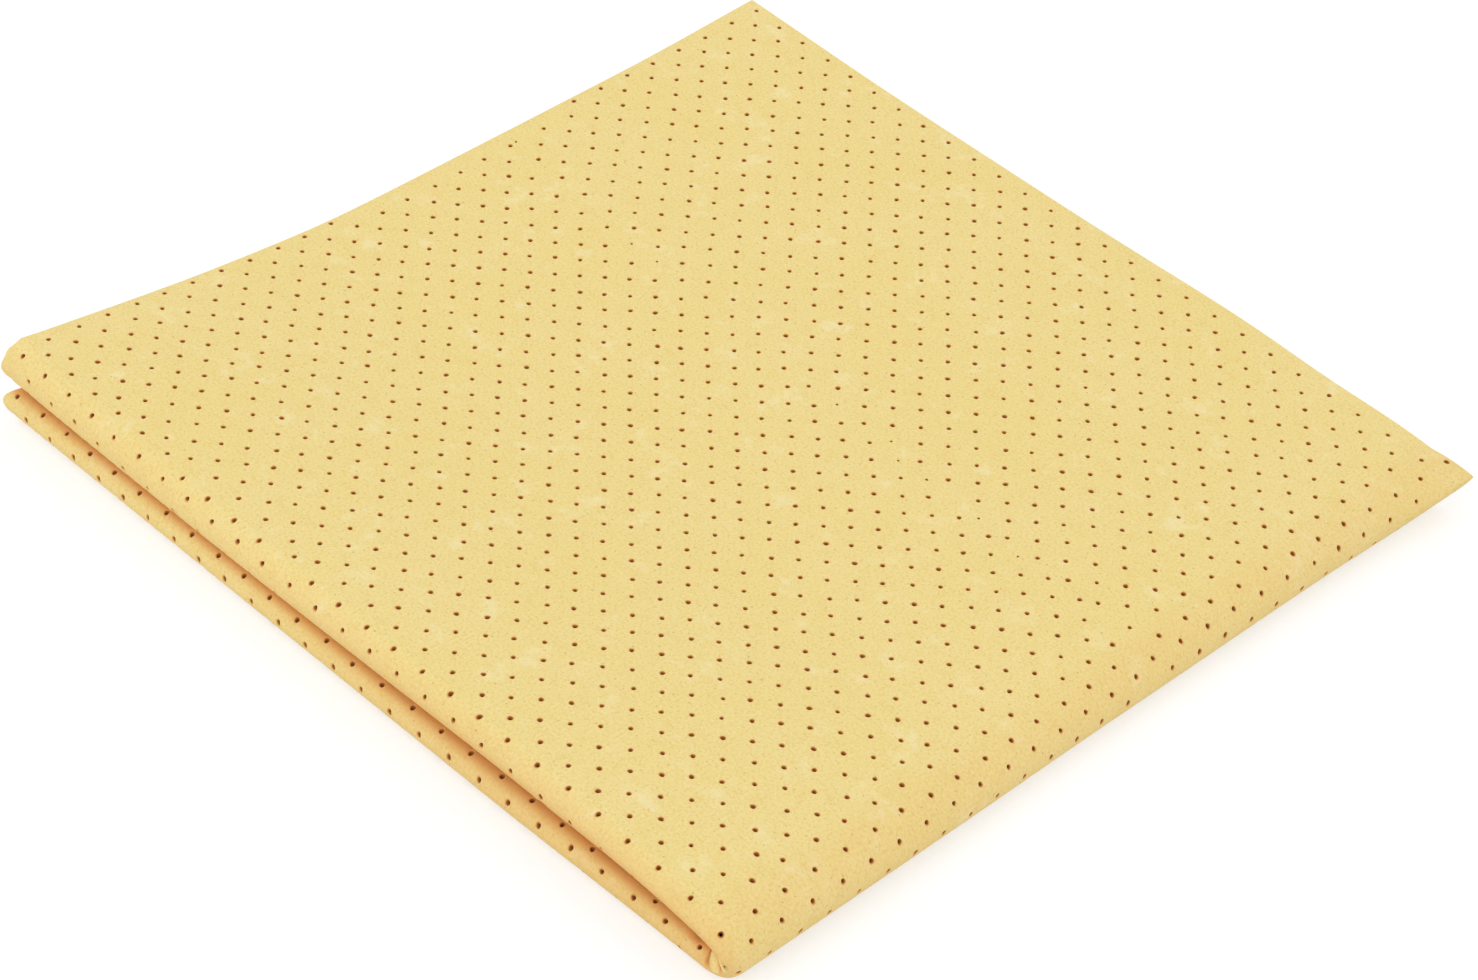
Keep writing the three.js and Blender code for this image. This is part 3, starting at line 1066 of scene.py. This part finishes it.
@dataclass(frozen=True)
class Stretch:
    """One stretch of the sheet between its creases, as a thick perforated piece of its own."""

    sheet: FoldedSheet
    name: str
    node: str
    half: Half
    layer: Layer
    rests_on: tuple[str, ...] = ()
    hole_sides: int = 10
    grid: tuple[int, int] = (72, 72)

    @property
    def spans(self) -> tuple[float, float, float, float]:
        """Where the stretch lies on the flat sheet.

        Returns:
            Its lowest and highest p, and its lowest and highest q.
        """
        sheet = self.sheet
        p_ends = (sheet.sizes.cut_x, sheet.wrap_start, sheet.wrap_end, sheet.p_end)
        q_ends = (sheet.sizes.open_y, sheet.lip_start, sheet.lip_end, sheet.q_end)
        column, row = self.half.value, self.layer.value
        return p_ends[column], p_ends[column + 1], q_ends[row + 1], q_ends[row]

    def cut_side(self, q: Array) -> tuple[Array, Array]:
        """Left and right end of the stretch, with the cut edge's flare.

        Args:
            q: Places along the ends.

        Returns:
            The lowest and the highest p at each q.
        """
        low, high, _, _ = self.spans
        flare = self.sheet.cut_flare(q, self.half)
        left = np.full_like(q, low) - (flare if self.half is Half.UPPER else 0.0)
        return left, np.full_like(q, high) + (flare if self.half is Half.LOWER else 0.0)

    def grid_lines(self) -> tuple[Array, Array]:
        """Even steps of p and of q from one end of the stretch to the other."""
        low, high, bottom, top = self.spans
        return np.linspace(low, high, self.grid[0] + 1), np.linspace(bottom, top, self.grid[1] + 1)

    def outline(self) -> Array:
        """The stretch's outline on the flat sheet.

        Returns:
            One row of p and q for each point, anticlockwise.
        """
        columns, rows = self.grid_lines()
        left, right = self.cut_side(rows)
        lower, upper = (np.concatenate([[left[k]], columns[1:-1], [right[k]]]) for k in (0, -1))
        return np.concatenate([
            np.stack([lower, np.full_like(lower, rows[0])], 1)[:-1],
            np.stack([right, rows], 1)[:-1],
            np.stack([upper, np.full_like(upper, rows[-1])], 1)[::-1][:-1],
            np.stack([left, rows], 1)[::-1][:-1],
        ])

    def own_holes(self, punching: Punching, holes: Array) -> Array:
        """The holes of this stretch, nudged clear of its ends.

        Args:
            punching: The perforation's sizes.
            holes: Every hole of the sheet.

        Returns:
            The rows of the holes that lie in the stretch, each with what keeps it round where the
            sheet is stretched along p and along q.
        """
        sheet, clear = self.sheet, punching.clear
        _, _, bottom, top = self.spans
        p, q = holes[:, 0], holes[:, 1]
        left, right = self.cut_side(q)
        keep = (p > left) & (p < right) & (q > bottom) & (q < top)
        if self.half is Half.UPPER:
            keep &= p - left >= clear
        if self.half is Half.LOWER:
            keep &= right - p >= clear
        if self.layer is Layer.OUTER:
            keep &= top - q >= clear
        if self.layer is Layer.INNER:
            keep &= q - bottom >= clear
        if self.half is Half.WRAP:
            near_roll = p <= sheet.wrap_start + punching.pressed_clear
            keep &= near_roll | (sheet.tip_share(q) <= punching.pressed_tip)
        if self.half is Half.WRAP and self.layer is Layer.LIP:
            keep &= q >= sheet.lip_start - punching.gathers_clear
        own = holes[keep]
        left, right = self.cut_side(own[:, 1])
        own[:, 0] = np.clip(own[:, 0], left + clear, right - clear)
        own[:, 1] = np.clip(own[:, 1], bottom + clear, top - clear)
        apart = np.hypot(*(own[:, None, :2] - own[None, :, :2]).transpose(2, 0, 1))
        own = own[~(np.triu(apart < 2 * clear, 1)).any(0)]

        # A stride is 1 mm on the flat sheet, so its length in space is how far the sheet is stretched.
        strides = sheet.strides(own[:, 0], own[:, 1], step=0.5)
        fit = [1 / np.clip(np.linalg.norm(stride, axis=1), *punching.stretch_limits) for stride in strides]
        return np.column_stack([own, *fit])

    def rings(self, own: Array, scale: float, ragged: float) -> Array:
        """Outlines of the holes on the flat sheet.

        Args:
            own: The stretch's holes.
            scale: Size of the outline against the hole's own size.
            ragged: How far it strays from round, as a share.

        Returns:
            An array of holes by corners by p and q, each ring anticlockwise.
        """
        p, q, size, long, turn, fit_p, fit_q = own.T[:, :, None]
        angle = 2 * math.pi * np.arange(self.hole_sides) / self.hole_sides

        # Three soft bulges round the outline, turned another way on each hole.
        wobble = 1 + ragged * np.sin(3 * (angle + turn) + 7 * turn)
        across = size * scale * (1 + long / 2) * np.cos(angle) * wobble
        along = size * scale * (1 - long / 2) * np.sin(angle) * wobble
        cosine, sine = np.cos(turn), np.sin(turn)
        return np.stack([
            p + (across * cosine - along * sine) * fit_p,
            q + (across * sine + along * cosine) * fit_q,
        ], 2)

    def inner_points(self, own: Array) -> Array:
        """Grid points of the stretch that lie clear of the holes and of the cut edge.

        Args:
            own: The stretch's holes.

        Returns:
            One row of p and q for each point.
        """
        low, high, _, _ = self.spans
        columns, rows = (line[1:-1] for line in self.grid_lines())
        p, q = (g.ravel() for g in np.meshgrid(columns, rows, indexing="ij"))
        if self.half is not Half.WRAP:
            shift = self.sheet.cut_flare(q, self.half) * (1 if self.half is Half.LOWER else -1)
            away = (p - low if self.half is Half.LOWER else high - p) / (high - low)
            p = p + shift * np.clip(away, 0, 1) ** 3
        clear, batch = 0.4, 200
        keep = np.ones(len(p), bool)
        for start in range(0, len(own), batch):
            part = own[start:start + batch]
            apart = (p[:, None] - part[None, :, 0]) ** 2 + (q[:, None] - part[None, :, 1]) ** 2
            keep &= (apart > (part[None, :, 2] + clear) ** 2).all(1)
        return np.stack([p[keep], q[keep]], 1)

    def triangulate(self, own: Array, mouth: Array) -> tuple[Array, Array, Array]:
        """Fill the stretch with triangles round its holes.

        Args:
            own: The stretch's holes.
            mouth: The holes' outlines.

        Returns:
            The flat points, the triangles as anticlockwise rows of their numbers, and the numbers
            of the outline's points and then of the holes' points.
        """
        outline = self.outline()
        points = np.concatenate([outline, mouth.reshape(-1, 2), self.inner_points(own)])
        first_ring, sides = len(outline), self.hole_sides
        starts = range(first_ring, first_ring + mouth.shape[0] * sides, sides)
        loops = [list(range(first_ring)), *(list(range(start, start + sides)) for start in starts)]

        # Kind 1 fills only inside the loops, and True asks which points and loops each result is from.
        flat, _, triangles, origin, _, faces_from = delaunay_2d_cdt(
            [Vector(point) for point in points], [], loops, 1, 1e-5, True
        )
        flat = np.array([tuple(point) for point in flat])
        number = np.full(len(points), -1)
        for new, olds in enumerate(origin):
            for old in olds:
                number[old] = new
        kept = np.array([face for face, source in zip(triangles, faces_from) if list(source) == [0]])

        # All triangles are turned anticlockwise, and those with no area are left out.
        first, second, third = (flat[kept[:, k]] for k in range(3))
        turned = (second[:, 0] - first[:, 0]) * (third[:, 1] - first[:, 1])
        turned = turned - (second[:, 1] - first[:, 1]) * (third[:, 0] - first[:, 0])
        kept[turned < 0] = kept[turned < 0][:, ::-1]
        return flat, kept[np.abs(turned) > 1e-9], number[:first_ring + mouth.shape[0] * sides]

    def build(self, punching: Punching, holes: Array) -> bpy.types.Object:
        """Make the stretch as a closed, perforated solid one ply thick.

        Args:
            punching: The perforation's sizes.
            holes: Every hole of the sheet.

        Returns:
            The piece.
        """
        sheet = self.sheet
        own = self.own_holes(punching, holes)
        flat, kept, number = self.triangulate(own, self.rings(own, 1.0, punching.ragged))
        middle, normal = sheet.place(*flat.T), sheet.normal(*flat.T)
        reach = sheet.half_ply(*flat.T)[:, None]
        mesh = SheetMesh(sheet)
        outside = mesh.add_points(middle + normal * reach, flat, 0.0)
        inside = mesh.add_points(middle - normal * reach, flat, 0.0)
        mesh.add_faces(outside[kept], normal[kept])
        mesh.add_faces(inside[kept[:, ::-1]], -normal[kept[:, ::-1]])

        # Walls along the outline close the ply, and rings close it round its holes.
        border, ring = np.split(number, [len(number) - len(own) * self.hole_sides])
        ahead = np.roll(border, -1)
        walls = np.stack([outside[border], inside[border], inside[ahead], outside[ahead]], 1)
        facing = unit(np.cross(middle[ahead] - middle[border], normal[border]))
        mesh.add_faces(walls, np.repeat(facing[:, None, :], 4, 1), 1.0)
        if len(own):
            ring = ring.reshape(-1, self.hole_sides)
            self._line_holes(mesh, punching, own, (outside[ring], inside[ring]), normal[ring])
        return mesh.build(self.name)

    def _line_holes(
        self,
        mesh: SheetMesh,
        punching: Punching,
        own: Array,
        mouths: tuple[Array, Array],
        mouth_normal: Array,
    ) -> None:
        """Line each hole with a soft rim on both sides and a wall between them.

        Args:
            mesh: The mesh to add to.
            punching: The perforation's sizes.
            own: The stretch's holes.
            mouths: Vertex numbers of the outer and the inner mouths, one row a hole, anticlockwise.
            mouth_normal: Direction of the outer side at each of them.
        """
        sheet, sides = self.sheet, self.hole_sides
        centre = sheet.place(own[:, 0], own[:, 1])

        def ring_at(scale: float, under: float, side: float, depth: float) -> tuple[Array, Array, Array]:
            """Add one ring of every hole.

            Args:
                scale: Size of the ring against the hole.
                under: How far it lies under the ply's face.
                side: Which face that is, 1 for the outer and -1 for the inner one.
                depth: How far inside the hole it lies, from 0 to 1.

            Returns:
                The rings' vertices, and the directions into the holes and out of the ply.
            """
            around = self.rings(own, scale, punching.ragged)
            around = around + np.array(punching.lean) * (1 - scale) / (1 - punching.throat[0])
            around = around.reshape(-1, 2)
            place, facing = sheet.place(*around.T), sheet.normal(*around.T)
            inward = unit(np.repeat(centre, sides, 0) - place).reshape(-1, sides, 3)
            height = side * (sheet.half_ply(*around.T) - under)[:, None]
            numbers = mesh.add_points(place + facing * height, around, depth).reshape(-1, sides)
            return numbers, inward, facing.reshape(-1, sides, 3)

        def band(one: Array, two: Array, one_normal: Array, two_normal: Array) -> None:
            """Join two rings of every hole.

            Args:
                one: Vertex numbers of the ring nearer the outer side.
                two: Vertex numbers of the other ring.
                one_normal: Directions that the first ring faces.
                two_normal: Directions that the second ring faces.
            """
            corners, normals = (
                np.stack([first, np.roll(first, -1, 1), np.roll(second, -1, 1), second], 2)
                for first, second in ((one, two), (one_normal, two_normal))
            )
            mesh.add_faces(corners.reshape(-1, 4), unit(normals.reshape(-1, 3)).reshape(-1, 4, 3))

        # Each ring's depth also says how much shade is painted on it.
        rim, rim_inward, rim_facing = ring_at(*punching.rim, 1.0, 0.5)
        high, inward, facing = ring_at(*punching.throat, 1.0, 1.0)
        low, _, _ = ring_at(punching.far_side, punching.rim[1], -1.0, 1.0)
        rounding = punching.rim_rounding
        rim_normal = rim_facing + rounding * rim_inward
        wall_normal = punching.wall_rounding * facing + inward
        band(mouths[0], rim, mouth_normal, rim_normal)
        band(rim, high, rim_normal, wall_normal)
        band(high, low, wall_normal, wall_normal)
        band(low, mouths[1], inward - rounding * facing, rounding * inward - mouth_normal)


@dataclass(frozen=True)
class Cloth:
    """The whole folded cloth: nine stretches of one sheet, those of each half on that half's body.

    bend_start and bend_end are heights in millimetres, and least_side is in metres.
    """

    sizes: ClothSizes = ClothSizes()
    loose: LooseShape = LooseShape()
    # Shade painted into the colour between the plies.
    painted_shade: GroovePaintedShade = GroovePaintedShade()
    punching: Punching = Punching()
    finish: ChamoisFinish = ChamoisFinish()
    bend_start: float = 5.05
    bend_end: float = 7.25
    nested_share: float = 0.7
    least_side: float = 0.0101

    def stretches(self) -> list[Stretch]:
        """The nine stretches of the sheet.

        Returns:
            The four plies and the lips from the bottom up, and then the wraps and the corner.
        """
        sheet = FoldedSheet(self.sizes, self.loose, self.painted_shade)
        upper, wrap, lower = Half
        outer, lip, inner = Layer
        crease, wide, small = (72, 16), (36, 72), (36, 16)
        under_third, under_top = ("bottom_ply", "lower_lip"), ("second_ply", "upper_lip")
        return [
            Stretch(sheet, "bottom_ply", "bottom_outer_quarter", lower, outer),
            Stretch(sheet, "lower_lip", "lower_first_fold", lower, lip, ("bottom_ply",), 12, crease),
            Stretch(sheet, "third_ply", "bottom_inner_quarter", lower, inner, under_third, 8),
            Stretch(sheet, "second_ply", "top_inner_quarter", upper, inner, ("third_ply",), 8),
            Stretch(sheet, "upper_lip", "upper_first_fold", upper, lip, ("second_ply",), 12, crease),
            Stretch(sheet, "top_ply", "top_outer_quarter", upper, outer, under_top),
            Stretch(sheet, "outer_wrap", "outer_second_fold", wrap, outer, ("bottom_ply",), 12, wide),
            Stretch(sheet, "inner_wrap", "inner_second_fold", wrap, inner, ("third_ply",), 8, wide),
            Stretch(sheet, "corner_wrap", "crossing_corner", wrap, lip, ("lower_lip",), 12, small),
        ]

    def build(self) -> None:
        """Make every stretch, dress it, and put those of each half on that half's body."""
        holes = self.punching.holes()
        material = self.finish.build()
        for stretch in self.stretches():
            piece = stretch.build(self.punching, holes)
            piece.data.materials.append(material)
            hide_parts(stretch.node)
            self._carry(stretch, piece)
            LOG.info("%s: %d faces", piece.name, len(piece.data.polygons))

    def _carry(self, stretch: Stretch, piece: bpy.types.Object) -> None:
        """Put a piece on its half's body, or bake a wrap's place into its mesh.

        Args:
            stretch: The stretch that the piece was made from.
            piece: The piece.
        """
        if stretch.half is not Half.WRAP:
            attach(piece, "upper_half" if stretch.half is Half.UPPER else "lower_half")
            return
        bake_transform(piece)


@dataclass(frozen=True)
class Lamp:
    """A soft round lamp that shines on the origin, with its place in metres and its power in watts."""

    name: str
    place: Triple
    power: float
    size: float = 0.9

    def build(self) -> None:
        """Hang the lamp in its place."""
        lamp = bpy.data.lights.new(self.name, "AREA")
        lamp.shape = "DISK"
        lamp.size = self.size
        lamp.energy = self.power
        turned = Vector(self.place).to_track_quat("Z", "Y").to_matrix().to_4x4()
        add_object(self.name, lamp).matrix_world = Matrix.Translation(self.place) @ turned


@dataclass(frozen=True)
class Studio:
    """White sweep, soft lamps and the camera at the photograph's angle.

    The lamps stand on each side of the camera, so that both folds are lit as the top is. Places are
    in metres and angles in degrees.
    """

    target: Triple = (0.012896, -0.011942, 0.008)
    distance: float = 0.57905
    elevation: float = 38.137
    heading: float = 132.774
    roll: float = 4.700
    focal_pixels: float = 3205.2
    frame_width: int = 1478
    sensor: float = 36.0
    sky: float = 0.89
    floor_size: float = 3.0
    floor_shade: Colour = (0.9, 0.9, 0.9, 1.0)
    floor_seen: Colour = (0.5, 0.5, 0.5, 1.0)
    floor_lift: float = 0.58
    lamps: tuple[Lamp, Lamp] = (
        Lamp("left_softbox", (-0.2, -1.1, 0.8), 2.6),
        Lamp("right_softbox", (1.1, 0.1, 0.8), 0.9),
    )

    def build(self) -> None:
        """Make the floor, the sky, the lamps and the camera."""
        self._floor()
        self._sky()
        for lamp in self.lamps:
            lamp.build()
        self._camera()
        bpy.context.scene.view_settings.view_transform = "Standard"

    def _floor(self) -> None:
        """Lay a wide white floor that shows pure white and keeps the cloth's shadow."""
        shape = bmesh.new()
        bmesh.ops.create_grid(shape, x_segments=4, y_segments=4, size=self.floor_size)
        mesh = bpy.data.meshes.new("floor")
        shape.to_mesh(mesh)
        shape.free()
        material = bpy.data.materials.new("white_floor")
        tree = empty_tree(material)
        seen = add_node(tree, "LightPath", {}).outputs["Is Camera Ray"]
        lift = add_node(tree, "Math", {0: seen, 1: self.floor_lift}, operation="MULTIPLY")
        shader = add_node(tree, "BsdfPrincipled", {
            "Base Color": mix_colours(tree, seen, self.floor_shade, self.floor_seen),
            "Roughness": 1.0,
            "Specular IOR Level": 0.0,
            "Emission Color": WHITE,
            "Emission Strength": lift.outputs["Value"],
        })
        add_node(tree, "OutputMaterial", {"Surface": shader.outputs["BSDF"]})
        mesh.materials.append(material)
        add_object("floor", mesh)

    def _sky(self) -> None:
        """Light the scene evenly from all round, with white behind it."""
        world = bpy.data.worlds.new("studio")
        bpy.context.scene.world = world
        tree = empty_tree(world)
        seen = add_node(tree, "LightPath", {}).outputs["Is Camera Ray"]
        strength = add_node(tree, "MapRange", {"Value": seen, "To Min": self.sky, "To Max": 1.0})
        background = add_node(tree, "Background", {"Color": WHITE, "Strength": strength.outputs["Result"]})
        add_node(tree, "OutputWorld", {"Surface": background.outputs["Background"]})

    def _camera(self) -> None:
        """Place the camera where the photograph was taken from."""
        tilt, turn, roll = (math.radians(a) for a in (self.elevation, self.heading, self.roll))
        ahead = math.cos(tilt)
        forward = Vector((ahead * math.cos(turn), ahead * math.sin(turn), -math.sin(tilt)))
        level = Vector((math.sin(turn), -math.cos(turn), 0.0))
        upward = level.cross(forward)
        right = level * math.cos(roll) + upward * math.sin(roll)
        up = upward * math.cos(roll) - level * math.sin(roll)
        camera = bpy.data.cameras.new("camera")
        camera.sensor_width = self.sensor
        camera.lens = self.focal_pixels * self.sensor / self.frame_width
        camera.clip_start = 0.01
        holder = add_object("camera", camera)
        turned = Matrix((right, up, -forward)).transposed().to_4x4()
        holder.matrix_world = Matrix.Translation(Vector(self.target) - forward * self.distance) @ turned
        bpy.context.scene.camera = holder


def corners(bounds: Sequence[Any]) -> list[list[float]]:
    """Turn a box's two corners into plain lists."""
    return [[float(number) for number in corner] for corner in bounds]


def main() -> None:
    """Build the studio and the cloth."""
    logging.basicConfig(level=logging.INFO, format="%(name)s: %(message)s")
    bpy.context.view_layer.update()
    Studio().build()
    LOG.info("studio: camera, floor and lamps")
    Cloth().build()


if __name__ == "__main__":
    main()
